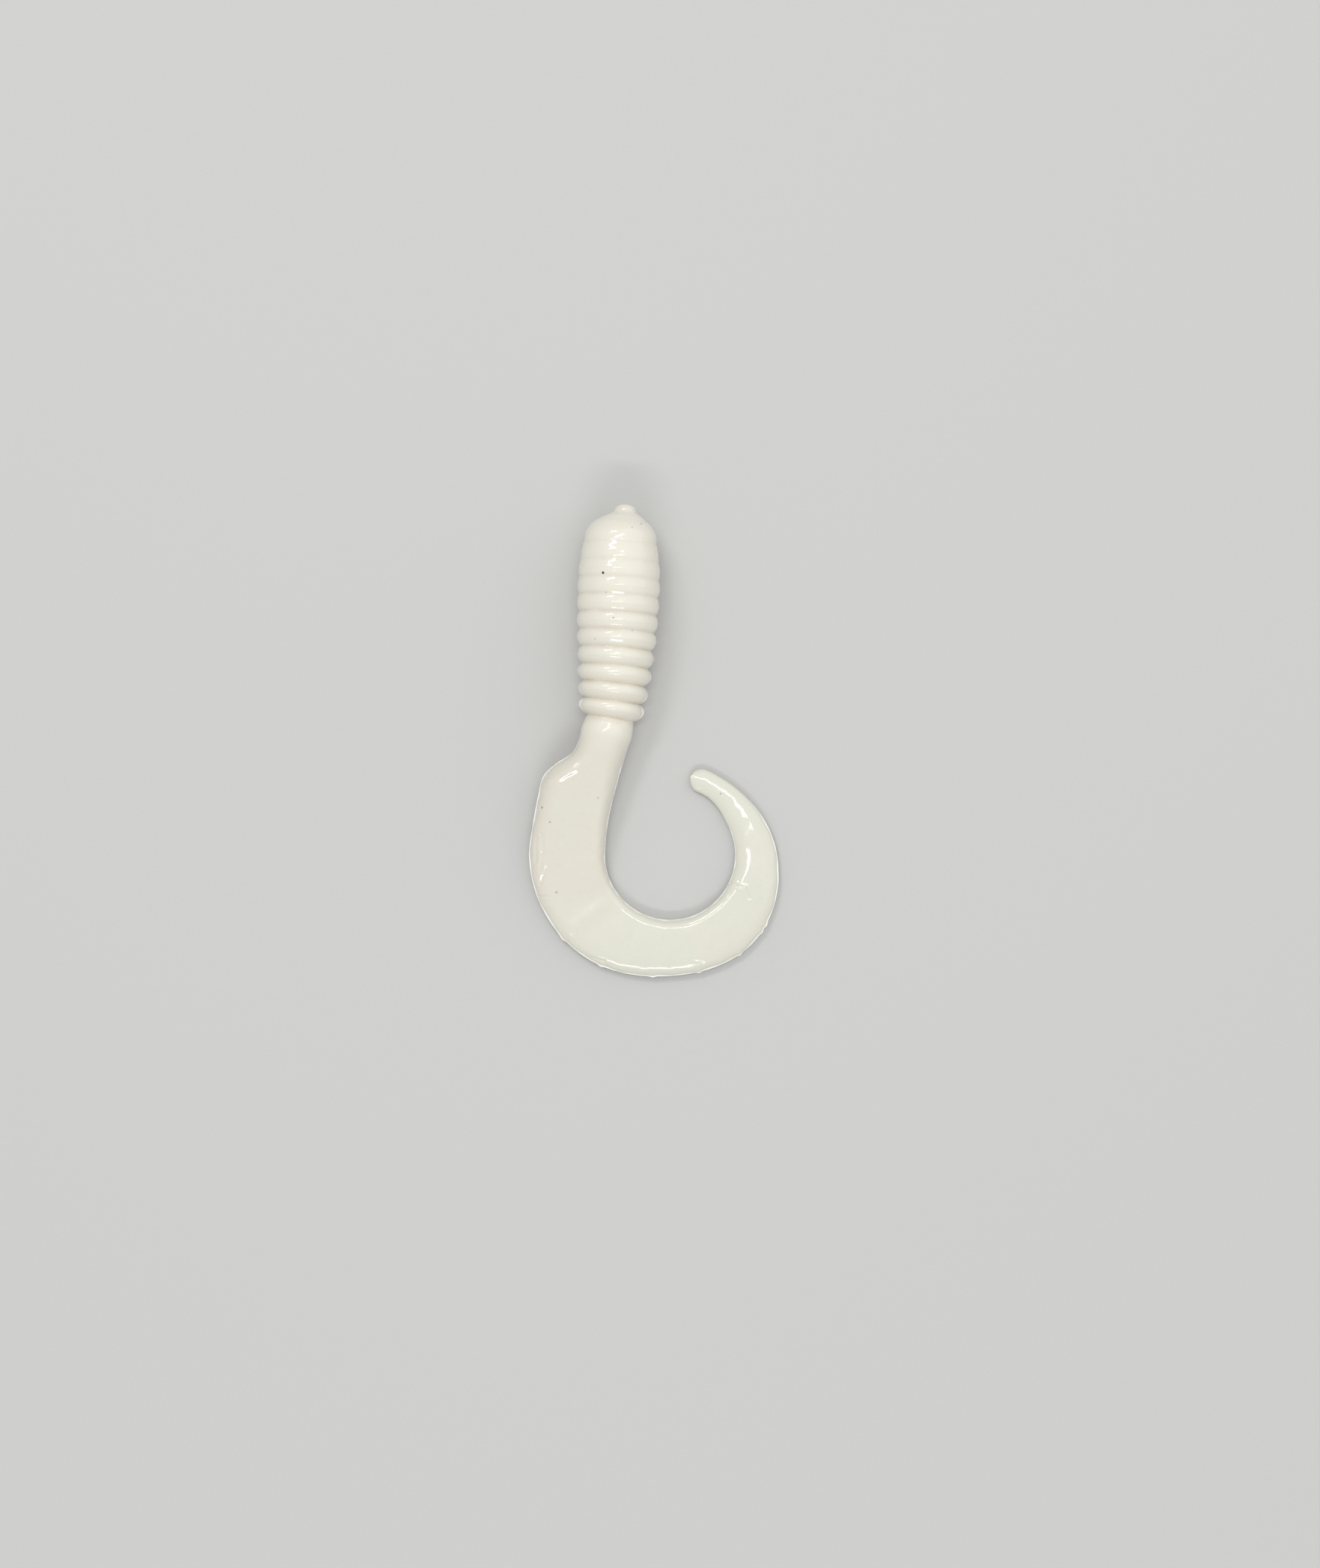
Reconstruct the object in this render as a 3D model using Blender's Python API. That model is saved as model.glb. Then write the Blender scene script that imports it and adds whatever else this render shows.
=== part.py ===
"""Curly-tail grub, a soft plastic fishing lure: one moulding, made as the regions that it flexes between.

It lies belly down on the XY plane: nose towards +Y, tail curling round towards +X, +Z up.
Every length is in millimetres until make_object(), which writes metres.
"""

import math

import bmesh
import bpy
from mathutils import Vector

MM = 0.001
GAP = 0.25  # clearance between neighbouring regions
SIDES = 32  # facets round the body

# Body: ten ribs on an axis that leans towards -X as it runs back
RIB_COUNT = 10
RIB_PITCH = 1.831
FIRST_RIB_Y = 19.78
AXIS_X = -3.52
AXIS_LEAN = 0.032
AXIS_CURVE = 0.00009
FATTEST_RIB = 2
FATTEST_RADIUS = 4.35
FRONT_TAPER = 0.075  # radius lost per squared rib ahead of the fattest
REAR_TAPER = 0.0225  # and behind it
FIRST_BULGE = 0.32  # how far a crest stands out of its grooves, front and rear
LAST_BULGE = 0.55
CREST_FULLNESS = 0.7  # below 1, a crest is flatter on top and rounder at its sides
FACE_RELIEF = math.radians(3.4)  # each face of a groove leans back for a bend of twice this
RING_TILT = math.radians(3.2)  # the ribs lean too, the more the further back they are
RING_TILT_GROWTH = math.radians(0.0062)  # times the groove's number cubed

# Nose: distance ahead of the front groove and radius, over the dome and the stub of the sprue
NOSE_PROFILE = (
    (0.80, 3.78),
    (1.30, 3.62),
    (1.80, 3.30),
    (2.15, 3.00),
    (2.50, 2.55),
    (2.80, 2.15),
    (3.10, 1.65),
    (3.30, 1.30),
    (3.60, 1.08),
    (3.85, 0.90),
    (4.05, 0.65),
    (4.20, 0.30),
)
NUB_SHIFT = 0.32  # the stub stands to the +X side of the axis
NUB_SHIFT_FROM, NUB_SHIFT_TO = 2.2, 3.6

# Tail: each ruling runs from the inner edge (the +X side, then the hollow of the curl) to the outer one
ROOT_RULINGS = (
    (-2.10, 1.60, -7.15, 2.50),
    (-2.40, 0.50, -7.42, 1.55),
    (-2.75, -0.80, -7.85, 0.10),
    (-3.15, -2.15, -8.65, -1.30),
    (-3.60, -3.65, -10.20, -2.35),
    (-4.05, -5.30, -11.60, -3.65),
    (-4.50, -7.10, -12.20, -5.70),
    (-4.92, -9.30, -12.75, -8.60),
    (-5.16, -12.11, -13.24, -12.11),
    (-5.16, -14.90, -13.10, -15.30),
)
CURL_AT = 8  # the ruling where the curl starts
CURL_PITCH = math.radians(42)
CURL_CENTRE = (1.76, -12.11)
CURL_START = math.radians(180)
INNER_RADIUS = 6.92
INNER_RISE = 0.40  # the hollow opens by this much before the tip
INNER_RISE_FROM, INNER_RISE_TO = math.radians(388), math.radians(420)
OUTER_RADII = (15.0, 14.30, 12.90, 12.85, 11.40, 10.0, 9.75)  # every OUTER_STEP from CURL_START
OUTER_STEP = math.radians(45)
TIP_FROM, TIP_TO = math.radians(427), math.radians(435.5)

# Tail sections: the round stem widens into a ribbon with rounded edges, whose top ramps down to the curl
STEM_HALF = 1.75  # half thickness that the stem has on top of the ribbon's
RIBBON_HALF, TIP_HALF = 0.85, 0.50
THIN_FROM = 44.0  # the ribbon thins from here to the tip
TAIL_LENGTH = 57.0
RAMP_FROM, RAMP_TO = 1.5, 20.5
RAMP_SOFTNESS = 0.08  # how softly the ramp starts and ends, as a share of it
WIDEN_BY, WIDEN_POWER = 4.5, 3  # the section is half way from round to flat this far along
NECK_LIFT = 0.60  # the stem's underside is this far off the ground
LIFT_FROM, LIFT_TO = 5.0, 22.0
RIM_HALF = 0.16  # half thickness at the parting line
CROWN = 0.12  # share of the thickness that a ribbon loses towards its edges, before they round off
OUTER_ROUND, INNER_ROUND = 1.7, 0.9  # how far in from each edge the rounding reaches
TIP_ROUND_FROM, TIP_ROUND_TO = 40.0, 50.0  # and by here it meets in the middle again
COLUMNS = 14  # facets across the tail

# Cuts between the tail's regions, as places along the rulings
STEM_FROM = 0.35
STEM_CUT = 2.0
WAG_CUT = 5.0
WAG_GAP = 0.7  # wider, because the tail is thick there
FLUTTER_CUT = 10.0
KNUCKLE = 1.2  # radius of a knuckle over half the width of the ribbon
UNCURL_CUTS = (8.0, 9.0, 11.0, 12.0, 13.0)


def smoothstep(value):
    value = min(1.0, max(0.0, value))
    return value * value * (3 - 2 * value)


def through(keys, place):
    """The value at a fractional index of a list, on a curve through its entries."""
    last = len(keys) - 1
    index = min(max(int(place), 0), last - 1)
    part = place - index
    before, start, end, after = (keys[min(max(index + k, 0), last)] for k in (-1, 0, 1, 2))
    return 0.5 * (
        2 * start
        + (end - before) * part
        + (2 * before - 5 * start + 4 * end - after) * part**2
        + (3 * start - before - 3 * end + after) * part**3
    )


def axis_point(behind):
    """The body's axis in plan, at a distance behind the first rib."""
    x = AXIS_X - AXIS_LEAN * behind - AXIS_CURVE * behind**3
    return Vector((x, FIRST_RIB_Y - behind, 0))


def ring_tilt(index):
    """How far a rib's plane is turned about +Z, at a fractional rib index."""
    return RING_TILT + RING_TILT_GROWTH * (index + 0.5) ** 3


def rib_radius(index):
    taper = FRONT_TAPER if index < FATTEST_RIB else REAR_TAPER
    return FATTEST_RADIUS - taper * (index - FATTEST_RIB) ** 2


def axis_height(index):
    """The front of the body is straight, and behind the fattest rib it lies on its crests."""
    return rib_radius(max(index, FATTEST_RIB))


def body_place(index):
    """(point on the axis, unit vector towards the nose, unit vector to the +X side) at a fractional rib."""
    behind = index * RIB_PITCH
    point = axis_point(behind)
    point.z = axis_height(index)
    tilt = ring_tilt(index)
    ahead = Vector((math.sin(tilt), math.cos(tilt), 0))
    side = Vector((math.cos(tilt), -math.sin(tilt), 0))
    return point, ahead, side


def curl_edges(angle):
    """(inner, outer) radius of the curl."""
    turned = angle - CURL_START
    outer = through(OUTER_RADII, turned / OUTER_STEP)
    rise = smoothstep((angle - INNER_RISE_FROM) / (INNER_RISE_TO - INNER_RISE_FROM))
    inner = INNER_RADIUS + INNER_RISE * rise
    if angle > TIP_FROM:
        part = min(1.0, (angle - TIP_FROM) / (TIP_TO - TIP_FROM))
        middle = (inner + outer) / 2
        half = (outer - inner) / 2 * math.sqrt(max(0.0, 1 - part**2))
        inner, outer = middle - half, middle + half
    return inner, outer


def tail_edges(place):
    """(inner, outer) edge of the tail in plan, at a fractional ruling."""
    if place <= CURL_AT:
        x_in, y_in, x_out, y_out = (through(keys, place) for keys in zip(*ROOT_RULINGS))
        return Vector((x_in, y_in, 0)), Vector((x_out, y_out, 0))
    angle = CURL_START + (place - CURL_AT) * CURL_PITCH
    centre = Vector((*CURL_CENTRE, 0))
    towards = Vector((math.cos(angle), math.sin(angle), 0))
    inner, outer = curl_edges(angle)
    return centre + inner * towards, centre + outer * towards


def tail_point(place, across):
    """A point in plan, across from the inner edge (0) to the outer edge (1)."""
    inner, outer = tail_edges(place)
    return inner.lerp(outer, across)


def distance_along(place):
    """Length of the tail's middle line from the first ruling."""
    whole = int(place / MEASURE_STEP)
    start, end = MEASURED[whole], MEASURED[min(whole + 1, len(MEASURED) - 1)]
    return start + (end - start) * (place / MEASURE_STEP - whole)


def round_share(distance):
    """1 where a section is round, at the stem and the tip, and 0 where it is a ribbon with rounded edges."""
    stem = 1 / (1 + (distance / WIDEN_BY) ** WIDEN_POWER)
    tip = smoothstep((distance - TIP_ROUND_FROM) / (TIP_ROUND_TO - TIP_ROUND_FROM))
    return max(stem, tip)


def soft_ramp(value, softness):
    """Rises evenly from 0 to 1 with value, with soft corners."""
    return (math.hypot(value, softness) - math.hypot(value - 1, softness) + 1) / 2


def thickest(distance):
    """Half the thickness at the thickest place of a section."""
    thinning = soft_ramp((distance - THIN_FROM) / (TAIL_LENGTH - THIN_FROM), RAMP_SOFTNESS)
    ribbon = RIBBON_HALF + (TIP_HALF - RIBBON_HALF) * thinning
    return ribbon + STEM_HALF * (1 - soft_ramp((distance - RAMP_FROM) / (RAMP_TO - RAMP_FROM), RAMP_SOFTNESS))


def level(place):
    """The height of the parting plane: the curl lies on the ground, and the stem stands clear of it."""
    distance = distance_along(place)
    lift = NECK_LIFT * (1 - smoothstep((distance - LIFT_FROM) / (LIFT_TO - LIFT_FROM)))
    return thickest(distance) + lift


def half_height(place, across):
    """Half the tail's thickness, across from the inner edge (0) to the outer edge (1)."""
    inner, outer = tail_edges(place)
    width = (outer - inner).length
    distance = distance_along(place)
    roundness = round_share(distance)
    height = 1 - CROWN * (1 - roundness) * (2 * across - 1) ** 2
    for edge_round, from_edge in ((INNER_ROUND, across * width), (OUTER_ROUND, (1 - across) * width)):
        reach = edge_round + (width / 2 - edge_round) * roundness
        height *= math.sqrt(1 - (1 - min(1.0, from_edge / reach)) ** 2)
    return RIM_HALF + (thickest(distance) - RIM_HALF) * height


def hinge_frame(place):
    """(midpoint at mid height, unit vector out from the inner edge, half width) at a ruling."""
    inner, outer = tail_edges(place)
    middle = (inner + outer) / 2
    middle.z = level(place)
    return middle, (outer - inner).normalized(), (outer - inner).length / 2


def step_back(cut, distance):
    """The place this distance ahead of a cut, towards the nose, along the middle of the tail."""
    target = tail_point(cut, 0.5)
    near, far = cut - 3, cut
    for _ in range(40):
        middle = (near + far) / 2
        if (tail_point(middle, 0.5) - target).length > distance:
            near = middle
        else:
            far = middle
    return (near + far) / 2


def knuckle(cut):
    """(centre in plan, its place, radius) of the round end of the region ahead of a cut."""
    radius = KNUCKLE * hinge_frame(cut)[2]
    place = step_back(cut, radius)
    return tail_point(place, 0.5), place, radius


def on_circle(centre, place, radius, across):
    """The place behind a knuckle's centre where a line along the tail crosses its circle."""
    near, far = place, place + 2.5
    for _ in range(40):
        middle = (near + far) / 2
        if (tail_point(middle, across) - centre).length < radius:
            near = middle
        else:
            far = middle
    return (near + far) / 2


def straight_end(cut, offset, relief=0.0):
    """An end on a ruling, moved along the tail by offset, and further towards the edges for a bend."""
    pace = (tail_point(cut + 0.05, 0.5) - tail_point(cut - 0.05, 0.5)).length / 0.1
    half = hinge_frame(cut)[2]

    def place_at(across):
        lean_back = abs(2 * across - 1) * half * math.tan(relief) * (1 if offset > 0 else -1)
        return cut + (offset + lean_back) / pace

    return place_at


def knuckle_end(cut, extra):
    centre, place, radius = knuckle(cut)

    def place_at(across):
        return on_circle(centre, place, radius + extra, across)

    return place_at


def make_object(name, points, faces, origin, colour):
    """A mesh object whose origin is on its joint's axis."""
    mesh = bpy.data.meshes.new(name)
    mesh.from_pydata([(point - origin) * MM for point in points], [], faces)
    obj = bpy.data.objects.new(name, mesh)
    obj.location = origin * MM
    bpy.context.scene.collection.objects.link(obj)
    build = bmesh.new()
    build.from_mesh(mesh)
    bmesh.ops.recalc_face_normals(build, faces=build.faces)
    build.to_mesh(mesh)
    build.free()
    material = bpy.data.materials.new(name)
    material.use_nodes = True
    shader = material.node_tree.nodes["Principled BSDF"]
    shader.inputs["Base Color"].default_value = (*colour, 1)
    shader.inputs["Roughness"].default_value = 0.25
    mesh.materials.append(material)
    return obj


def lofted(sections):
    """(points, faces) through sections of equal size. A section of one point closes that end."""
    points, faces, starts = [], [], []
    for section in sections:
        starts.append(len(points))
        points.extend(section)
    for a, b, first, second in zip(starts, starts[1:], sections, sections[1:]):
        count = max(len(first), len(second))
        for k in range(count):
            after = (k + 1) % count
            if len(first) == 1:
                faces.append((a, b + after, b + k))
            elif len(second) == 1:
                faces.append((a + k, a + after, b))
            else:
                faces.append((a + k, a + after, b + after, b + k))
    return points, faces


def ring(centre, side, radius):
    """A circle of points about a centre, square to the body's axis."""
    if radius == 0:
        return [centre.copy()]
    up = Vector((0, 0, 1))
    turns = (2 * math.pi * k / SIDES for k in range(SIDES))
    return [centre + radius * (math.cos(turn) * side + math.sin(turn) * up) for turn in turns]


def make_rib(index):
    centre, ahead, side = body_place(index)
    bulge = FIRST_BULGE + (LAST_BULGE - FIRST_BULGE) * index / (RIB_COUNT - 1)
    radius = rib_radius(index)
    half = (RIB_PITCH - GAP) / 2
    rim_half = half - (radius - bulge) * math.tan(FACE_RELIEF)
    sections = [ring(centre + half * ahead, side, 0)]
    for k in range(7):
        turn = math.pi * k / 6
        along = rim_half * math.cos(turn)
        crest = radius - bulge + bulge * math.sin(turn) ** CREST_FULLNESS
        sections.append(ring(centre + along * ahead, side, crest))
    sections.append(ring(centre - half * ahead, side, 0))
    points, faces = lofted(sections)
    hinge = body_place(index - 0.5)[0]
    make_object(f"rib_{index + 1:02d}", points, faces, hinge, RIB_COLOUR)


def make_nose():
    groove, ahead, side = body_place(-0.5)
    back = groove + GAP / 2 * ahead
    back_radius = NOSE_PROFILE[0][1] - 0.2
    sections = [ring(back, side, 0)]
    sections.append(ring(back + back_radius * math.tan(FACE_RELIEF) * ahead, side, back_radius))
    for distance, radius in NOSE_PROFILE:
        shift = NUB_SHIFT * smoothstep((distance - NUB_SHIFT_FROM) / (NUB_SHIFT_TO - NUB_SHIFT_FROM))
        centre = groove + distance * ahead + shift * side
        sections.append(ring(centre, side, radius))
    sections.append(ring(centre, side, 0))
    points, faces = lofted(sections)
    make_object("nose", points, faces, groove, NOSE_COLOUR)


def end_faces(stations):
    """Strips that close both ends of a region of the tail."""
    count = len(ACROSS)
    strips = []
    for base in (0, stations * 2 * count):
        for k in range(count - 1):
            strips.append((base + k, base + k + 1, base + 2 * count - 2 - k, base + 2 * count - 1 - k))
    return strips


def tail_region(name, start, end, origin, stations):
    """A region of the tail between two ends, each a rule for its place at every column across."""
    sections = []
    for k in range(stations + 1):
        top, bottom = [], []
        for share in ACROSS:
            place = start(share) + (end(share) - start(share)) * k / stations
            point = tail_point(place, share)
            half = half_height(place, share)
            top.append(point + Vector((0, 0, level(place) + half)))
            bottom.append(point + Vector((0, 0, level(place) - half)))
        sections.append(top + bottom[::-1])
    points, faces = lofted(sections)
    faces += end_faces(stations)
    make_object(name, points, faces, origin, TAIL_COLOUR)


def make_stem():
    """The neck behind the last rib: its front face is square to the axis, and its back is on a ruling."""
    groove, ahead, side = body_place(RIB_COUNT - 0.5)
    face_depth = GAP / 2 + thickest(0) * math.tan(FACE_RELIEF)
    back = straight_end(STEM_CUT, -GAP / 2, FACE_RELIEF)
    stations = 6
    sections = []
    for k in range(stations + 1):
        top, bottom = [], []
        for share in ACROSS:
            place = STEM_FROM + (back(share) - STEM_FROM) * k / stations
            point = tail_point(place, share)
            if k == 0:
                point -= ((point - groove).dot(ahead) + face_depth) * ahead
            half = half_height(place, share)
            top.append(point + Vector((0, 0, level(place) + half)))
            bottom.append(point + Vector((0, 0, level(place) - half)))
        sections.append(top + bottom[::-1])
    points, faces = lofted(sections)
    faces += end_faces(stations)
    make_object("stem", points, faces, groove, TAIL_COLOUR)


def make_tail():
    ends = {
        "stem": straight_end(STEM_CUT, GAP / 2, FACE_RELIEF),
        "wag_front": straight_end(WAG_CUT, -WAG_GAP / 2),
        "wag_back": straight_end(WAG_CUT, WAG_GAP / 2),
        "flutter_front": straight_end(FLUTTER_CUT, -GAP / 2),
        "flutter_back": straight_end(FLUTTER_CUT, GAP / 2),
    }
    convex = {cut: knuckle_end(cut, 0) for cut in UNCURL_CUTS}
    concave = {cut: knuckle_end(cut, GAP) for cut in UNCURL_CUTS}
    tip_place = CURL_AT + (TIP_TO - CURL_START) / CURL_PITCH - 0.01
    regions = (
        ("tail_root", ends["stem"], ends["wag_front"], hinge_frame(STEM_CUT)[0]),
        ("tail_paddle", ends["wag_back"], convex[8.0], hinge_frame(WAG_CUT)[0]),
        ("tail_curl_01", concave[8.0], convex[9.0], None),
        ("tail_curl_02", concave[9.0], ends["flutter_front"], None),
        ("tail_curl_03", ends["flutter_back"], convex[11.0], hinge_frame(FLUTTER_CUT)[0]),
        ("tail_curl_04", concave[11.0], convex[12.0], None),
        ("tail_curl_05", concave[12.0], convex[13.0], None),
        ("tail_tip", concave[13.0], lambda across: tip_place, None),
    )
    knuckle_of = {
        "tail_curl_01": 8.0,
        "tail_curl_02": 9.0,
        "tail_curl_04": 11.0,
        "tail_curl_05": 12.0,
        "tail_tip": 13.0,
    }
    for name, start, end, origin in regions:
        if origin is None:
            centre, place, _ = knuckle(knuckle_of[name])
            origin = Vector((centre.x, centre.y, level(place)))
        tail_region(name, start, end, origin, 10)


# The middle line's length up to each of a row of places, for distance_along()
MEASURE_STEP = 0.02
MEASURED = [0.0]
for step in range(1, round((CURL_AT + (TIP_TO - CURL_START) / CURL_PITCH) / MEASURE_STEP) + 2):
    piece = tail_point(step * MEASURE_STEP, 0.5) - tail_point((step - 1) * MEASURE_STEP, 0.5)
    MEASURED.append(MEASURED[-1] + piece.length)
ACROSS = [(1 - math.cos(math.pi * k / COLUMNS)) / 2 for k in range(COLUMNS + 1)]

NOSE_COLOUR = (0.80, 0.77, 0.66)
RIB_COLOUR = (0.78, 0.75, 0.64)
TAIL_COLOUR = (0.76, 0.73, 0.62)

for leftover in list(bpy.data.objects):
    bpy.data.objects.remove(leftover)
make_nose()
for rib in range(RIB_COUNT):
    make_rib(rib)
make_stem()
make_tail()
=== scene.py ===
"""The looks of a curly-tail grub, a soft plastic fishing lure lying belly down on a pale surface.

The real thing is one moulding. Its skin is computed here as one continuous surface, and cut into pieces
halfway between hinges, so that each piece spans one joint.
Shapes are in millimetres until make_piece(), which writes metres.
"""

import math

import bpy
import numpy as np
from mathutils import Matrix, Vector


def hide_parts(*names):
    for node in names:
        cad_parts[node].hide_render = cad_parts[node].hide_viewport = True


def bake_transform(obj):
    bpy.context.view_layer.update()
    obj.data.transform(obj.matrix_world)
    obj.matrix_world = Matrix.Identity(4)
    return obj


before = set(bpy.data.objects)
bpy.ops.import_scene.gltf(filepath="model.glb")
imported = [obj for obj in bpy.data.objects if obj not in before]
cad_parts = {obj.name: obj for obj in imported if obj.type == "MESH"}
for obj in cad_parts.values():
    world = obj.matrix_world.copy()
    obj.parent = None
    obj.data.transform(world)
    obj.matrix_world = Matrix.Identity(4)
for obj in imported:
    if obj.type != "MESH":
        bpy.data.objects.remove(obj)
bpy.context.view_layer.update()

MM = 0.001
TAU = 2 * math.pi
AROUND = 144  # points round each ring of the skin
RIPPLE_WAVES = 12  # waves that add up to one kind of waviness
UP = np.array((0.0, 0.0, 1.0))

# ---- sizes, as in the CAD ----

# Body: ten ribs on an axis that leans towards -X as it runs back
RIB_COUNT = 10
RIB_PITCH = 1.831
FIRST_RIB_Y = 19.78
AXIS_X, AXIS_LEAN, AXIS_CURVE = -3.52, 0.032, 0.00009
FATTEST_RIB, FATTEST_RADIUS = 2, 4.35
FRONT_TAPER, REAR_TAPER = 0.075, 0.0225
RING_TILT, RING_TILT_GROWTH = math.radians(3.2), math.radians(0.0062)

# Nose: distance ahead of the front groove and radius, with more points at the stub than the CAD has
NOSE_PROFILE = (
    (0.00, 3.78),
    (0.80, 3.78),
    (1.30, 3.62),
    (1.80, 3.30),
    (2.15, 3.00),
    (2.50, 2.55),
    (2.80, 2.15),
    (3.10, 1.62),
    (3.30, 1.28),
    (3.45, 1.17),
    (3.70, 1.09),
    (3.90, 0.93),
    (4.07, 0.65),
    (4.17, 0.35),
    (4.20, 0.10),
)
NUB_SHIFT, NUB_SHIFT_FROM, NUB_SHIFT_TO = 0.32, 2.2, 3.6  # the stub sits a little to the +X side

# Tail: rulings from the inner edge to the outer edge, then a curl
ROOT_RULINGS = (
    (-2.10, 1.60, -7.15, 2.50),
    (-2.40, 0.50, -7.42, 1.55),
    (-2.75, -0.80, -7.85, 0.10),
    (-3.15, -2.15, -8.65, -1.30),
    (-3.60, -3.65, -10.20, -2.35),
    (-4.05, -5.30, -11.60, -3.65),
    (-4.50, -7.10, -12.20, -5.70),
    (-4.92, -9.30, -12.75, -8.60),
    (-5.16, -12.11, -13.24, -12.11),
    (-5.16, -14.90, -13.10, -15.30),
)
CURL_AT = 8
CURL_PITCH = math.radians(42)
CURL_CENTRE = np.array((1.76, -12.11))
CURL_START = math.radians(180)
INNER_RADIUS, INNER_RISE = 6.92, 0.40
INNER_RISE_FROM, INNER_RISE_TO = math.radians(388), math.radians(420)
OUTER_RADII = (15.0, 14.30, 12.90, 12.85, 11.40, 10.0, 9.75)
OUTER_STEP = math.radians(45)
TIP_FROM, TIP_TO = math.radians(427), math.radians(435.5)
TIP_PLACE = CURL_AT + (TIP_TO - CURL_START) / CURL_PITCH

# Tail sections: the round stem widens into a ribbon with rounded edges, whose top ramps down to the curl
STEM_HALF, RIBBON_HALF, TIP_HALF = 1.75, 0.85, 0.50
TAIL_LENGTH, THIN_FROM = 57.0, 44.0
RAMP_FROM, RAMP_TO, RAMP_SOFTNESS = 1.5, 20.5, 0.08
WIDEN_BY, WIDEN_POWER = 4.5, 3
NECK_LIFT, LIFT_FROM, LIFT_TO = 0.60, 5.0, 22.0
CROWN = 0.12
OUTER_ROUND, INNER_ROUND = 1.7, 0.9
TIP_ROUND_FROM, TIP_ROUND_TO = 40.0, 50.0

# ---- sizes of what only the skin shows ----

FIRST_GROOVE, GROOVE_GROWTH = 0.03, 0.060  # depth of the front groove, and how much deeper each next one is
LOBE_POWER = 2.0  # how a rib falls off from its crest: 2 makes it an arc
TURNING_MARKS, TURNING_DEPTH = 3, 0.011  # fine rings that the mould's lathe left on each rib
FLASH_BODY, FLASH_FROM_RIB = 0.26, 3  # how far the mould's seam stands out at the end, and its first rib
SEAM_REACH = 0.09  # how far that seam reaches above and below the parting plane, in rib radii
FLASH_WIDTH, FLASH_HALF = 0.16, 0.06  # the thin lip it leaves along the tail's outer edge
INNER_LIP, LIP_ROUND = 0.6, 0.03  # the inner edge's lip as a share of that, and how both are rounded
LIP_FADE, LIP_STOP = 6.0, 3.0  # how much of the outer lip's width gets a painted glow, standing in for light through its thin plastic
GLOW_SHARE = 0.8  # how much of the outer lip's width has the pale tint of clear plastic
SWELL, SWELL_AT, SWELL_BREADTH = 0.06, 1.3, 0.9  # the stem is fuller just behind the last groove
BURRS_AT = (218, 238, 262, 284, 305, 320, 324)  # degrees round the curl
BURR_BREADTH = 2.0  # in degrees
BURR_HEIGHT, BURR_ROOT = 0.14, 0.5  # how far it stands out, and how far in from the edge it pulls the skin
WAVINESS, WAVE_SIZE = 0.007, 4.0
FINE_WAVINESS, FINE_WAVE_SIZE = 0.0040, 1.3
BODY_WAVINESS = 0.15  # the body's share of both
TAIL_WAVES_Y, TAIL_WAVES_LENGTH = 3, 6  # where it starts to grow from that share, and over what length

PUSHED_UP = 0.35  # what stands up beside a dent, as a share of its depth
# Marks and folds on top of the tail: from (x, y) to (x, y), depth (below 0 for a ridge), breadth
DENTS = (
    (-12.35, -10.2, -12.45, -12.8, 0.055, 0.17),
    (-11.80, -10.0, -11.75, -11.9, 0.045, 0.20),
    (-11.75, -11.9, -11.95, -13.8, 0.050, 0.17),
    (-11.40, -13.5, -12.00, -15.2, 0.060, 0.16),
    (-12.80, -16.6, -11.20, -16.5, 0.045, 0.12),
    (7.60, -14.9, 8.80, -15.3, 0.060, 0.14),
    (8.80, -15.3, 9.70, -15.6, 0.045, 0.13),
    (9.70, -15.6, 10.15, -16.7, 0.045, 0.13),
    (-6.60, -23.0, -5.20, -23.4, 0.040, 0.15),
    (3.20, -23.2, 5.10, -23.5, 0.035, 0.15),
    (-6.90, -8.6, -6.60, -9.4, 0.015, 0.30),
    (-5.40, -17.4, -9.70, -20.5, -0.075, 0.70),
    (-11.00, -4.40, -8.30, -2.95, -0.10, 0.40),
)
# Dark specks in the plastic, seen from above: x, y, radius, darkness
SPECKS = (
    (-5.24, 17.34, 0.15, 1.0),
    (-4.96, 15.33, 0.10, 0.30),
    (-4.07, 12.67, 0.11, 0.45),
    (-6.10, 10.55, 0.10, 0.30),
    (-2.15, 11.40, 0.12, 0.20),
    (-1.24, 22.58, 0.13, 0.45),
    (-2.18, 22.19, 0.12, 0.25),
    (-11.75, -7.10, 0.15, 0.45),
    (-10.85, -8.55, 0.11, 0.45),
    (-5.75, -6.00, 0.14, 0.22),
    (-10.22, -16.05, 0.14, 0.35),
    (7.15, -5.60, 0.11, 0.40),
)

# Tints and painted light: how strong each one is, and how far along the skin it reaches. The groove tint is
# painted shade, the edge tint a painted glow on the flash, and the body tint painted brightness; the curl
# tint is the plastic's greener colour
GROOVE_SHADE_BREADTH = 0.15  # breadth of the painted shade in the grooves, in ribs
FRONT_GROOVE_SHADE, FULL_SHADE_RIB = 0.35, 5  # the front groove's share of the painted shade, and the rib where it becomes 1
NECK_SHADE, NECK_SHADE_REACH = 0.5, 0.6  # the groove's painted shade on the stem
CURL_TINT_FROM, CURL_TINT_LENGTH = 15, 8
# how far along the tail the body's painted brightness fades out
BODY_LIGHT_LENGTH = 4

# ---- how the skin is divided ----

STEPS_PER_NOSE_POINT = 5
STATIONS_PER_RIB = 30
TAIL_STEP, TIP_CROWDING = 0.10, 0.2  # distance between rings, and how much less of it there is at the tip
TIP_GAP = 0.004  # what the last ring keeps from the very tip, where the width is nothing
NECK_PLACE = 0.25  # the first ring of the tail
# Places, about half way between the hinges, where the skin is cut
TAIL_CUTS = (1.0, 3.5, 5.66, 7.45, 9.2, 10.24, 11.05, 12.13)


def smoothstep(value):
    value = np.clip(value, 0, 1)
    return value * value * (3 - 2 * value)


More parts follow.
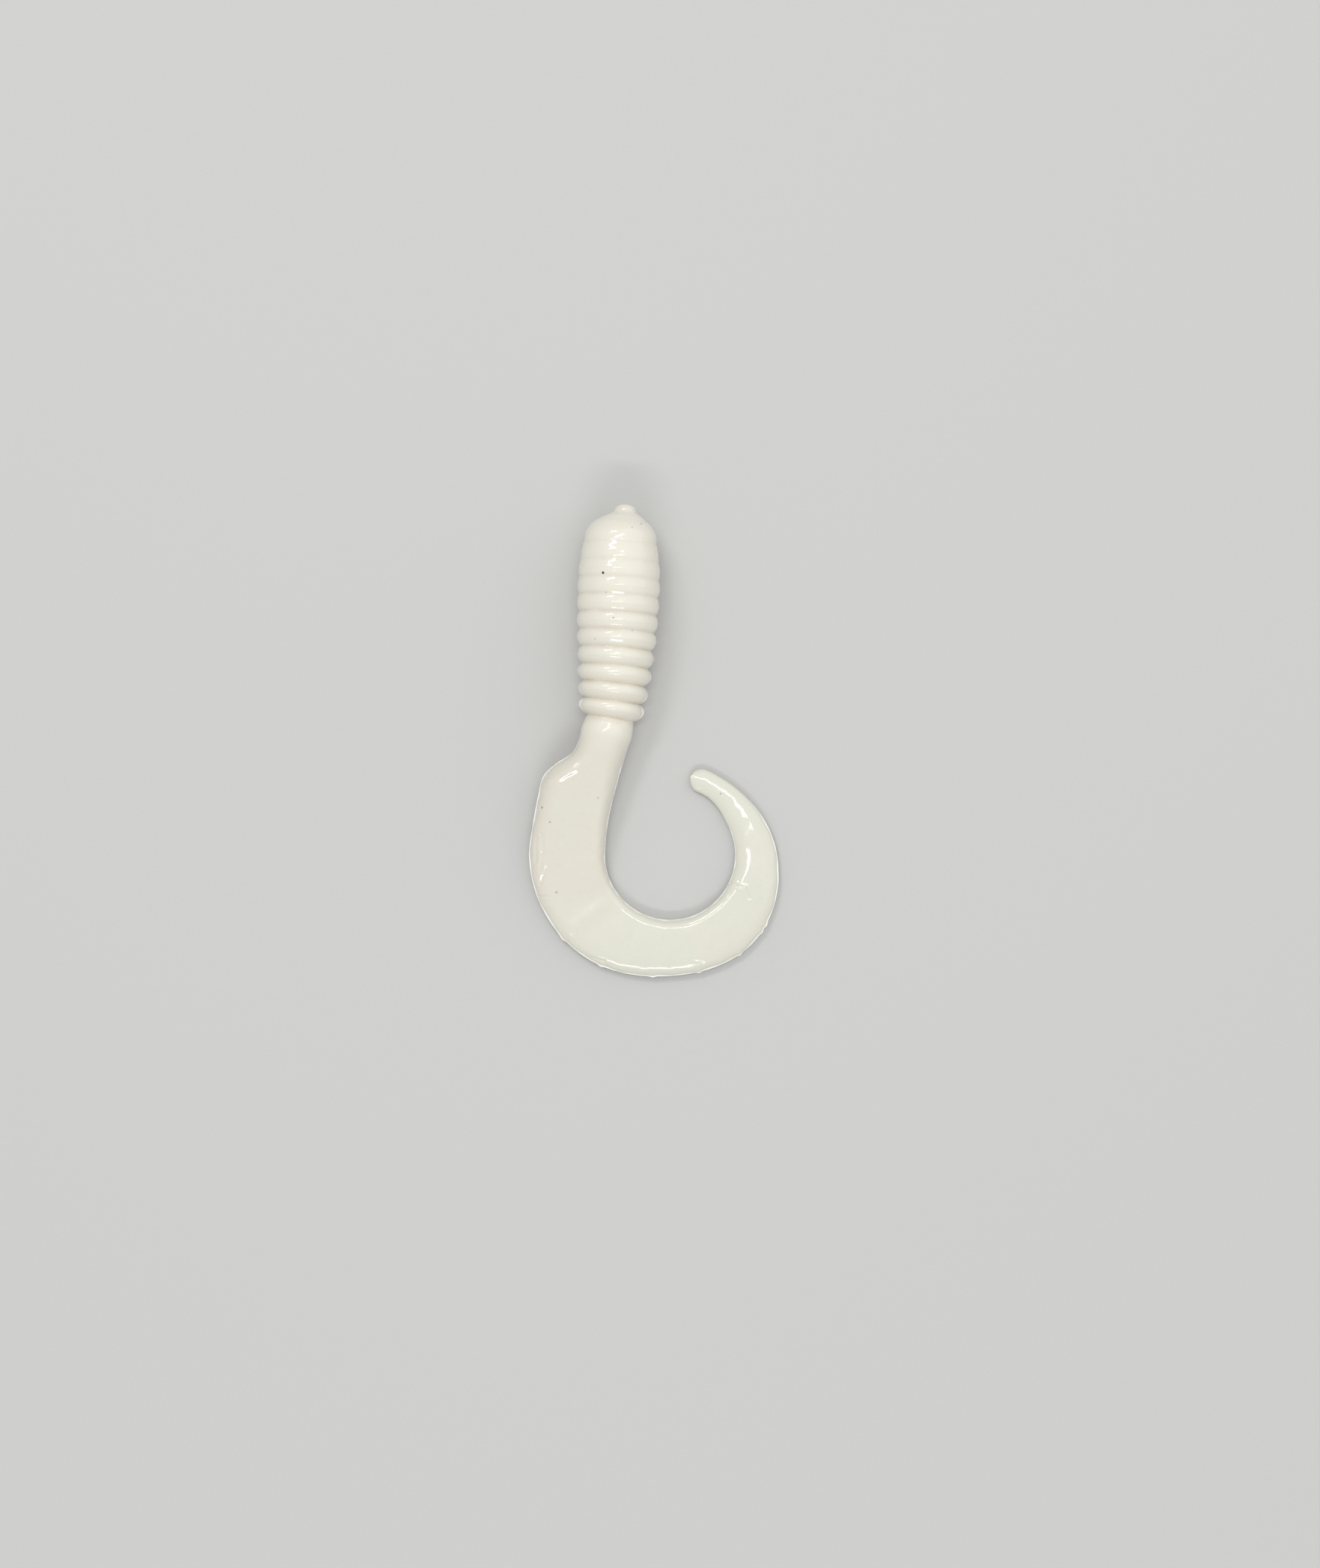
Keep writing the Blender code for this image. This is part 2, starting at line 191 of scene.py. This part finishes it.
def through(keys, place):
    """Values at fractional indices of a list, on a curve through its entries."""
    keys = np.asarray(keys, float)
    place = np.asarray(place, float)
    last = len(keys) - 1
    index = np.clip(place.astype(int), 0, last - 1)
    part = place - index
    before, start, end, after = (keys[np.clip(index + k, 0, last)] for k in (-1, 0, 1, 2))
    return 0.5 * (
        2 * start
        + (end - before) * part
        + (2 * before - 5 * start + 4 * end - after) * part**2
        + (3 * start - before - 3 * end + after) * part**3
    )


def ripples(points, scale, seed):
    """Smooth seeded noise of about unit size at points, with features about scale millimetres across."""
    chance = np.random.default_rng(seed)
    total = np.zeros(points.shape[:-1])
    for _ in range(RIPPLE_WAVES):
        direction = chance.normal(size=3)
        direction /= np.linalg.norm(direction)
        wave = TAU / scale * chance.uniform(0.5, 1.5)
        total += np.sin(points @ direction * wave + chance.uniform(0, TAU))
    return total / math.sqrt(RIPPLE_WAVES / 2)


# ---- the body ----

turns = TAU * np.arange(AROUND) / AROUND  # round each ring: 0 and half a turn are on the parting plane
seam_line = np.clip(1 - np.abs(np.sin(turns)) / SEAM_REACH, 0, 1)


def crest_radius(index):
    taper = FRONT_TAPER if index < FATTEST_RIB else REAR_TAPER
    return FATTEST_RADIUS - taper * (index - FATTEST_RIB) ** 2


def body_place(index):
    """(point on the axis, unit vector towards the nose, unit vector to the +X side) at a fractional rib."""
    behind = index * RIB_PITCH
    x = AXIS_X - AXIS_LEAN * behind - AXIS_CURVE * behind**3
    tilt = RING_TILT + RING_TILT_GROWTH * (index + 0.5) ** 3
    point = np.array((x, FIRST_RIB_Y - behind, crest_radius(max(index, FATTEST_RIB))))
    ahead = np.array((math.sin(tilt), math.cos(tilt), 0))
    side = np.array((math.cos(tilt), -math.sin(tilt), 0))
    return point, ahead, side


def groove_nearness(index):
    """1 in the middle of a groove, 0 on a crest."""
    return 1 - 2 * abs(index - math.floor(index) - 0.5)


def body_radius(index):
    """The ringed body's radius: round ribs, and grooves that deepen towards the tail."""
    groove = math.floor(index) + 1  # 0 is the groove in front of the first rib
    depth = FIRST_GROOVE + GROOVE_GROWTH * groove
    nearness = groove_nearness(index)
    marks = TURNING_DEPTH * math.cos(TAU * TURNING_MARKS * index) * (1 - nearness)
    return crest_radius(index) - depth * nearness**LOBE_POWER + marks


def flash_height(index):
    """How far the seam stands out: hardly at all in front, and in uneven lengths at the back."""
    growth = smoothstep((index - FLASH_FROM_RIB) / (RIB_COUNT - 1 - FLASH_FROM_RIB))
    unevenness = 0.6 + 0.4 * math.sin(2.3 * index + 0.4) * math.sin(0.9 * index)
    lobe = 1 - groove_nearness(index) ** 4
    return FLASH_BODY * float(growth) * unevenness * lobe


def body_ring(index):
    centre, _, side = body_place(index)
    radius = body_radius(index) + flash_height(index) * seam_line
    across = (radius * np.cos(turns))[:, None] * side
    up = (body_radius(index) * np.sin(turns))[:, None] * UP
    return centre + across + up


def nose_ring(part):
    """A ring at a fractional index of the nose's profile."""
    distance, radius = (float(through(keys, part)) for keys in zip(*NOSE_PROFILE))
    groove, ahead, side = body_place(-0.5)
    shift = NUB_SHIFT * float(smoothstep((distance - NUB_SHIFT_FROM) / (NUB_SHIFT_TO - NUB_SHIFT_FROM)))
    centre = groove + distance * ahead + shift * side
    return centre + radius * (np.cos(turns)[:, None] * side + np.sin(turns)[:, None] * UP)


# ---- the tail ----


def curl_edges(angle):
    """(inner, outer) radius of the curl at an angle round its centre."""
    outer = through(OUTER_RADII, (angle - CURL_START) / OUTER_STEP)
    rise = smoothstep((angle - INNER_RISE_FROM) / (INNER_RISE_TO - INNER_RISE_FROM))
    inner = INNER_RADIUS + INNER_RISE * rise
    if angle > TIP_FROM:
        part = min(1.0, (angle - TIP_FROM) / (TIP_TO - TIP_FROM))
        middle = (inner + outer) / 2
        half = (outer - inner) / 2 * math.sqrt(max(0.0, 1 - part**2))
        inner, outer = middle - half, middle + half
    return inner, outer


def tail_edges(place):
    """(inner, outer) edge in plan at a fractional ruling."""
    if place <= CURL_AT:
        x_in, y_in, x_out, y_out = (through(keys, place) for keys in zip(*ROOT_RULINGS))
        return np.array((x_in, y_in)), np.array((x_out, y_out))
    angle = CURL_START + (place - CURL_AT) * CURL_PITCH
    towards = np.array((math.cos(angle), math.sin(angle)))
    inner, outer = curl_edges(angle)
    return CURL_CENTRE + inner * towards, CURL_CENTRE + outer * towards


def plan_middle(place):
    inner, outer = tail_edges(place)
    return (inner + outer) / 2


# the middle line's length up to each of a row of places
measured_places = np.linspace(0, TIP_PLACE, 1400)
measured_line = np.array([plan_middle(place) for place in measured_places])
measured = np.concatenate(([0], np.cumsum(np.linalg.norm(np.diff(measured_line, axis=0), axis=1))))


def distance_along(place):
    return float(np.interp(place, measured_places, measured))


def round_share(distance):
    """1 where a section is round, at the stem and the tip, and 0 where it is a ribbon with rounded edges."""
    stem = 1 / (1 + (distance / WIDEN_BY) ** WIDEN_POWER)
    tip = smoothstep((distance - TIP_ROUND_FROM) / (TIP_ROUND_TO - TIP_ROUND_FROM))
    return max(stem, float(tip))


def soft_ramp(value, softness):
    """Rises evenly from 0 to 1 with value, with soft corners."""
    return (math.hypot(value, softness) - math.hypot(value - 1, softness) + 1) / 2


def thickest(distance):
    """Half the thickness at the thickest place of a section."""
    thinning = soft_ramp((distance - THIN_FROM) / (TAIL_LENGTH - THIN_FROM), RAMP_SOFTNESS)
    ribbon = RIBBON_HALF + (TIP_HALF - RIBBON_HALF) * thinning
    flattening = soft_ramp((distance - RAMP_FROM) / (RAMP_TO - RAMP_FROM), RAMP_SOFTNESS)
    return ribbon + STEM_HALF * (1 - flattening)


def level(distance):
    """The height of the parting plane: the curl lies on the ground, and the stem stands clear of it."""
    lift = NECK_LIFT * (1 - smoothstep((distance - LIFT_FROM) / (LIFT_TO - LIFT_FROM)))
    return thickest(distance) + float(lift)


def lip_width(distance):
    """The width of the flash along the outer edge: uneven, and nothing at the stem and near the tip."""
    width = FLASH_WIDTH * (0.7 + 0.3 * math.sin(2.1 * distance) * math.sin(0.83 * distance + 1))
    fade = smoothstep(distance / LIP_FADE) * smoothstep((TAIL_LENGTH - LIP_STOP - distance) / LIP_FADE)
    return width * float(fade)


def burr(place):
    """How far a burr stands out from the outer edge."""
    degrees = math.degrees(CURL_START + (place - CURL_AT) * CURL_PITCH)
    nearest_burr = min(abs(degrees - at) for at in BURRS_AT)
    return BURR_HEIGHT * max(0.0, 1 - nearest_burr / BURR_BREADTH)


def half_height(distance, from_inner, from_outer, width, lip):
    """Half the thickness across a section: a rounded ribbon or a round stem, inside a thin lip."""
    roundness = round_share(distance)
    height = 1 - CROWN * (1 - roundness) * (2 * from_inner / width - 1) ** 2
    two_edges = ((INNER_ROUND, from_inner, INNER_LIP * lip), (OUTER_ROUND, from_outer, lip))
    for edge_round, from_edge, edge_lip in two_edges:
        reach = edge_round + (width / 2 - edge_round) * roundness
        inside = np.clip((from_edge - edge_lip) / (reach - edge_lip), 0, 1)
        height = height * np.sqrt(1 - (1 - inside) ** 2)
    lip_half = FLASH_HALF * np.sqrt(np.clip(np.minimum(from_inner, from_outer) / LIP_ROUND, 0, 1))
    return np.maximum(thickest(distance) * height, lip_half)


def within(reach, from_edge):
    """1 as far as reach from an edge, fading to 0 at twice that."""
    return smoothstep((2 * reach - from_edge) / (reach + 1e-6))


def tail_ring(place):
    """(ring, how near each of its points is to the thin lip of flash, which gets a painted glow)"""
    inner, outer = tail_edges(place)
    distance = distance_along(place)
    width = np.linalg.norm(outer - inner)
    lip = lip_width(distance)
    across = (1 - np.cos(turns)) / 2
    from_inner, from_outer = across * width, (1 - across) * width
    swell = SWELL * math.exp(-(((distance - SWELL_AT) / SWELL_BREADTH) ** 2))
    half = (1 + swell) * half_height(distance, from_inner, from_outer, width, lip)
    stretch = burr(place) * smoothstep(1 - from_outer / BURR_ROOT) + swell * (from_inner - width / 2)
    ring = np.empty((AROUND, 3))
    ring[:, :2] = inner + (outer - inner) * (across + stretch / width)[:, None]
    ring[:, 2] = level(distance) + np.sign(np.sin(turns)) * half
    lip_glow_share = within(GLOW_SHARE * lip, from_outer) + within(INNER_LIP * lip, from_inner)
    return ring, np.clip(lip_glow_share, 0, 1)


# ---- the whole skin, as one grid of rings ----

rings, marks = [], []  # marks: (which part, its index or place) of each ring
# groove: painted shade, edge: painted glow, body: painted brightness, curl: the plastic's greener colour
tints_and_painted_light = {"groove": [], "edge": [], "curl": [], "body": []}


def add_ring(ring, kind, place, groove=0.0, edge=0.0, curl=0.0, body=0.0):
    """Adds a ring to the skin, with the share of each tint and each painted light: one number, or one for
    each of its points.
    """
    rings.append(ring)
    marks.append((kind, place))
    for key, share in (("groove", groove), ("edge", edge), ("curl", curl), ("body", body)):
        tints_and_painted_light[key].append(np.broadcast_to(share, AROUND))


for step in range(STEPS_PER_NOSE_POINT * (len(NOSE_PROFILE) - 1)):
    add_ring(nose_ring(len(NOSE_PROFILE) - 1 - step / STEPS_PER_NOSE_POINT), "nose", 0, body=1.0)
for step in range(STATIONS_PER_RIB * RIB_COUNT + 1):
    # stations crowd towards the grooves, where the ribs turn in
    whole, part = divmod(step, STATIONS_PER_RIB)
    index = whole - 0.5 + (1 - math.cos(math.pi * part / STATIONS_PER_RIB)) / 2
    # painted shade darkens each groove, and a painted glow lightens the flash along the rib seam
    strength = FRONT_GROOVE_SHADE + (1 - FRONT_GROOVE_SHADE) * smoothstep(index / FULL_SHADE_RIB)
    nearness = math.exp(-(((1 - groove_nearness(index)) / 2 / GROOVE_SHADE_BREADTH) ** 2))
    seam_glow_share = seam_line * flash_height(index) / FLASH_BODY
    add_ring(body_ring(index), "body", index, groove=nearness * strength, edge=seam_glow_share, body=1.0)
neck_distance = distance_along(NECK_PLACE)
tail_steps = int((measured[-1] - neck_distance) / TAIL_STEP)
for step in range(tail_steps + 1):
    # stations crowd a little towards the tip
    part = step / tail_steps
    part += TIP_CROWDING * part**8 * (1 - part)
    distance = neck_distance + (measured[-1] - TIP_GAP - neck_distance) * part
    place = float(np.interp(distance, measured, measured_places))
    ring, lip_glow_share = tail_ring(place)
    # painted shade at the neck, painted glow along the flash lips, and the body's painted brightness fading
    # onto the stem
    add_ring(
        ring,
        "tail",
        place,
        groove=NECK_SHADE * math.exp(-((distance / NECK_SHADE_REACH) ** 2)),
        edge=lip_glow_share,
        curl=smoothstep((distance - CURL_TINT_FROM) / CURL_TINT_LENGTH),
        body=1 - smoothstep(distance / BODY_LIGHT_LENGTH),
    )
skin = np.array(rings)
tints_and_painted_light = {key: np.array(shares) for key, shares in tints_and_painted_light.items()}
rest = skin.copy()


def skin_normals(grid):
    """Outward unit normals of a grid of rings."""
    around = np.roll(grid, -1, axis=1) - np.roll(grid, 1, axis=1)
    along = np.gradient(grid, axis=0)
    normal = np.cross(around, along)
    length = np.linalg.norm(normal, axis=2, keepdims=True)
    normal /= np.maximum(length, 1e-12)
    sample = len(grid) // 4
    outward = grid[sample] - grid[sample].mean(axis=0)
    return normal * np.sign((normal[sample] * outward).sum())


def segment_distance(points, start, end):
    """Distance in plan of points from a line between two ends."""
    line = end - start
    part = np.clip(((points - start) @ line) / (line @ line), 0, 1)
    return np.linalg.norm(points - start - part[..., None] * line, axis=-1)


def weather(grid):
    """Moves the skin in and out: soft waviness all over, and the dents on top of the tail."""
    normal = skin_normals(grid)
    on_tail = smoothstep((TAIL_WAVES_Y - grid[..., 1]) / TAIL_WAVES_LENGTH)
    move = WAVINESS * ripples(grid, WAVE_SIZE, 11) + FINE_WAVINESS * ripples(grid, FINE_WAVE_SIZE, 12)
    move *= BODY_WAVINESS + (1 - BODY_WAVINESS) * on_tail
    facing_up = smoothstep(normal[..., 2] / 0.3)  # so that the underside keeps none of the dents
    for x_1, y_1, x_2, y_2, depth, breadth in DENTS:
        away = segment_distance(grid[..., :2], np.array((x_1, y_1)), np.array((x_2, y_2)))
        move -= depth * facing_up * np.exp(-((away / breadth) ** 2))
        move += PUSHED_UP * depth * facing_up * np.exp(-(((away - 2 * breadth) / breadth) ** 2))
    move[0] = move[-1] = 0  # the two ends are closed with a flat fan
    return grid + move[..., None] * normal


skin = weather(skin)
normals = skin_normals(skin)


# ---- joints, and the pieces that span them ----


def nearest(kind, value):
    """The ring that lies nearest a place."""
    gaps = [abs(mark[1] - value) if mark[0] == kind else 1e9 for mark in marks]
    return int(np.argmin(gaps))


bodies = ["nose", *(f"rib_{k:02d}" for k in range(1, RIB_COUNT + 1)), "stem", "tail_root", "tail_paddle"]
bodies += [*(f"tail_curl_{k:02d}" for k in range(1, 6)), "tail_tip"]
cuts = [nearest("body", index) for index in range(RIB_COUNT)]
cuts += [nearest("tail", place) for place in TAIL_CUTS]


def make_piece(name, first, last, cap_start, cap_end):
    """A stretch of the skin as its own mesh, whose normals are the whole skin's, so that no cut shows."""
    rows = slice(first, last + 1)
    count = last + 1 - first
    grid = skin[rows]
    points = list(grid.reshape(-1, 3))
    vectors = list(normals[rows].reshape(-1, 3))
    at_rest = list(rest[rows].reshape(-1, 3))
    values = {key: list(tint[rows].reshape(-1)) for key, tint in tints_and_painted_light.items()}
    faces = []
    for row in range(count - 1):
        for column in range(AROUND):
            after = (column + 1) % AROUND
            a, b = row * AROUND, (row + 1) * AROUND
            faces.append((a + column, a + after, b + after, b + column))
    for wanted, row, inward in ((cap_start, 0, 1), (cap_end, count - 1, -1)):
        if not wanted:
            continue
        hub = len(points)
        middle = grid[row].mean(axis=0)
        away = middle - grid[row + inward].mean(axis=0)
        points.append(middle)
        at_rest.append(middle)
        vectors.append(away / max(np.linalg.norm(away), 1e-9))
        for key in values:
            values[key].append(values[key][row * AROUND])
        for column in range(AROUND):
            one, other = row * AROUND + column, row * AROUND + (column + 1) % AROUND
            faces.append((other, one, hub) if row == 0 else (one, other, hub))
    mesh = bpy.data.meshes.new(name)
    mesh.from_pydata([tuple(point * MM) for point in points], [], faces)
    mesh.update()
    if mesh.polygons[0].normal.dot(tuple(vectors[0])) < 0:
        mesh.flip_normals()
    mesh.polygons.foreach_set("use_smooth", [True] * len(mesh.polygons))
    mesh.normals_split_custom_set_from_vertices([tuple(v) for v in vectors])
    # the place in millimetres at rest, so that colour and grain stay on the skin as it bends
    place_at_rest = mesh.attributes.new("rest", "FLOAT_VECTOR", "POINT")
    place_at_rest.data.foreach_set("vector", np.array(at_rest).ravel())
    for key, value in values.items():
        mesh.attributes.new(key, "FLOAT", "POINT").data.foreach_set("value", np.array(value))
    piece = bpy.data.objects.new(name, mesh)
    bpy.context.scene.collection.objects.link(piece)
    return piece


edges = [0] + cuts + [len(skin) - 1]
pieces = []
for joint in range(len(bodies) - 1):
    ahead, behind = bodies[joint], bodies[joint + 1]
    is_first, is_last = joint == 0, joint == len(bodies) - 2
    piece = make_piece(f"skin_{joint + 1:02d}_{behind}", edges[joint], edges[joint + 1], is_first, is_last)
    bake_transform(piece)
    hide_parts(ahead, behind)
    pieces.append(piece)


# ---- material ----


def node(tree, kind, **settings):
    made = tree.nodes.new(kind)
    for key, value in settings.items():
        setattr(made, key, value)
    return made


def attribute(tree, name):
    return node(tree, "ShaderNodeAttribute", attribute_name=name)


def noise(tree, scale, detail=2.0):
    """Noise over the skin at rest, with features about 1 / scale millimetres across."""
    made = node(tree, "ShaderNodeTexNoise")
    made.inputs["Scale"].default_value = scale
    made.inputs["Detail"].default_value = detail
    tree.links.new(attribute(tree, "rest").outputs["Vector"], made.inputs["Vector"])
    return made.outputs["Fac"]


def ranged(tree, value, low, high, to_low=0.0, to_high=1.0):
    """A value carried smoothly from one range to another."""
    made = node(tree, "ShaderNodeMapRange", interpolation_type="SMOOTHSTEP")
    for name, number in (("From Min", low), ("From Max", high), ("To Min", to_low), ("To Max", to_high)):
        made.inputs[name].default_value = number
    tree.links.new(value, made.inputs["Value"])
    return made.outputs["Result"]


def times(tree, value, other):
    """A value times a number or another value."""
    made = node(tree, "ShaderNodeMath", operation="MULTIPLY")
    tree.links.new(value, made.inputs[0])
    if isinstance(other, float):
        made.inputs[1].default_value = other
    else:
        tree.links.new(other, made.inputs[1])
    return made.outputs["Value"]


def mixed(tree, share, first, second):
    """A colour between two, each a socket or four numbers."""
    made = node(tree, "ShaderNodeMix", data_type="RGBA")
    tree.links.new(share, made.inputs["Factor"])
    for socket, colour in (("A", first), ("B", second)):
        target = [i for i in made.inputs if i.name == socket and i.type == "RGBA"][0]
        if isinstance(colour, tuple):
            target.default_value = colour
        else:
            tree.links.new(colour, target)
    return [o for o in made.outputs if o.type == "RGBA"][0]


def skin_top(x, y):
    """The point of the skin that is seen from above at a place in plan."""
    away = (rest[..., 0] - x) ** 2 + (rest[..., 1] - y) ** 2
    away += 10 * (normals[..., 2] < 0.2)  # rules out skin that doesn't face up
    return rest[np.unravel_index(np.argmin(away), away.shape)]


def speck_mask(tree, x, y, radius, darkness):
    """Darkness within the radius round the skin's point above (x, y), and 0 outside it."""
    gap = node(tree, "ShaderNodeVectorMath", operation="DISTANCE")
    tree.links.new(attribute(tree, "rest").outputs["Vector"], gap.inputs[0])
    gap.inputs[1].default_value = tuple(skin_top(x, y))
    return ranged(tree, gap.outputs["Value"], 0.7 * radius, 1.15 * radius, darkness, 0.0)


CURL_GREENNESS, BLOTCH_GREENNESS = 0.5, 0.5
BODY_LIGHT_SHARE = 0.7  # how far the body's painted brightness replaces the blotches: a paler colour standing in for light carried through its thick plastic
# how strongly the flash gets its painted glow
EDGE_GLOW_SHARE = 0.8
PINKISH = (0.695, 0.660, 0.570, 1)
GREENISH = (0.672, 0.676, 0.580, 1)
# painted brightness for the body, standing in for light scattered through the plastic
BODY_PAINTED_LIGHT = (0.800, 0.775, 0.675, 1)
# painted glow for light shining through the thin flash
PAINTED_EDGE_GLOW = (0.94, 0.94, 0.90, 1)
# colour of the painted shade in the grooves
GROOVE_PAINTED_SHADE = (0.60, 0.48, 0.38, 1)
SPECK_BROWN = (0.02, 0.015, 0.012, 1)


def plastisol():
    material = bpy.data.materials.new("plastisol")
    material.use_nodes = True
    tree = material.node_tree
    shader = tree.nodes["Principled BSDF"]
    shader.inputs["Specular IOR Level"].default_value = 0.25
    shader.inputs["Coat Weight"].default_value = 0.9
    shader.inputs["Coat Roughness"].default_value = 0.07

    # colour: blotches of a pink and a greenish white, more of the green along the curl
    blotches = ranged(tree, noise(tree, 0.16), 0.40, 0.62)
    curl = attribute(tree, "curl").outputs["Fac"]
    greenness = node(tree, "ShaderNodeMath", operation="MULTIPLY_ADD", use_clamp=True)
    tree.links.new(curl, greenness.inputs[0])
    greenness.inputs[1].default_value = CURL_GREENNESS
    tree.links.new(times(tree, blotches, BLOTCH_GREENNESS), greenness.inputs[2])
    colour = mixed(tree, greenness.outputs["Value"], PINKISH, GREENISH)
    # painted brightness on the body, a paler colour standing in for light carried through its thick plastic
    body_light_share = times(tree, attribute(tree, "body").outputs["Fac"], BODY_LIGHT_SHARE)
    colour = mixed(tree, body_light_share, colour, BODY_PAINTED_LIGHT)
    # painted shade in the grooves, patchy in strength
    patchy_groove_shade = ranged(tree, noise(tree, 0.5), 0.3, 0.7, 0.15, 0.42)
    groove_shade_share = times(tree, attribute(tree, "groove").outputs["Fac"], patchy_groove_shade)
    colour = mixed(tree, groove_shade_share, colour, GROOVE_PAINTED_SHADE)
    # painted glow on the flash lips and the rib seam, standing in for light through thin plastic
    edge_glow_share = times(tree, attribute(tree, "edge").outputs["Fac"], EDGE_GLOW_SHARE)
    colour = mixed(tree, edge_glow_share, colour, PAINTED_EDGE_GLOW)
    for speck in SPECKS:
        colour = mixed(tree, speck_mask(tree, *speck), colour, SPECK_BROWN)
    tree.links.new(colour, shader.inputs["Base Color"])

    # finish: glossy, duller in patches where it was handled
    roughness = ranged(tree, noise(tree, 0.7, 4.0), 0.35, 0.7, 0.24, 0.40)
    tree.links.new(roughness, shader.inputs["Roughness"])
    bump = node(tree, "ShaderNodeBump")
    bump.inputs["Strength"].default_value = 0.10
    bump.inputs["Distance"].default_value = 0.05 * MM
    tree.links.new(noise(tree, 3.0, 4.0), bump.inputs["Height"])
    tree.links.new(bump.outputs["Normal"], shader.inputs["Normal"])
    return material


skin_material = plastisol()
for piece in pieces:
    piece.data.materials.append(skin_material)

# ---- floor, light and camera ----


def floor_material():
    material = bpy.data.materials.new("floor")
    material.use_nodes = True
    shader = material.node_tree.nodes["Principled BSDF"]
    shader.inputs["Base Color"].default_value = (0.535, 0.535, 0.525, 1)
    shader.inputs["Roughness"].default_value = 0.6
    return material


floor_mesh = bpy.data.meshes.new("floor")
floor_mesh.from_pydata([(-1, -1, 0), (1, -1, 0), (1, 1, 0), (-1, 1, 0)], [], [(0, 1, 2, 3)])
floor_mesh.materials.append(floor_material())
floor = bpy.data.objects.new("floor", floor_mesh)
bpy.context.scene.collection.objects.link(floor)
floor.location.z = -0.02 * MM  # about as far as the uneven skin reaches below the ground


def area_light(name, location, size_x, size_y, power):
    """A soft lamp that points at the object."""
    data = bpy.data.lights.new(name, "AREA")
    data.shape = "RECTANGLE"
    data.size, data.size_y = size_x, size_y
    data.energy = power
    lamp = bpy.data.objects.new(name, data)
    bpy.context.scene.collection.objects.link(lamp)
    lamp.location = location
    lamp.rotation_mode = "QUATERNION"
    lamp.rotation_quaternion = (-Vector(location)).to_track_quat("-Z", "Y")


area_light("tube_above", (-0.03, 0.10, 0.70), 0.38, 0.04, 0.75)
area_light("tube_near", (-0.04, -0.50, 0.55), 0.40, 0.05, 1.05)
area_light("tube_far", (-0.25, 0.40, 0.60), 0.30, 0.10, 1.15)
area_light("fill_right", (0.35, 0.25, 0.40), 0.80, 0.80, 0.9)
world = bpy.data.worlds.new("world")
bpy.context.scene.world = world
world.use_nodes = True
world.node_tree.nodes["Background"].inputs["Color"].default_value = (1, 1, 1, 1)
world.node_tree.nodes["Background"].inputs["Strength"].default_value = 0.61
bpy.context.scene.view_settings.view_transform = "Standard"  # no filmic curve, which would grey the whites

IMAGE_HEIGHT, PIXELS_PER_MM = 2096, 12.65
VIEW_HEIGHT = IMAGE_HEIGHT / PIXELS_PER_MM  # how much of the object's plane the picture's long side shows
CAMERA_PLACE = (0.69, -4.57, 300.0)  # looking straight down
LOOK_LEVEL = 3.0  # the height at which that scale holds
SENSOR = 36.0
camera_data = bpy.data.cameras.new("camera")
camera_data.sensor_width = SENSOR
camera_data.lens = SENSOR * (CAMERA_PLACE[2] - LOOK_LEVEL) / VIEW_HEIGHT
camera = bpy.data.objects.new("camera", camera_data)
camera.location = [coordinate * MM for coordinate in CAMERA_PLACE]
bpy.context.scene.collection.objects.link(camera)
bpy.context.scene.camera = camera
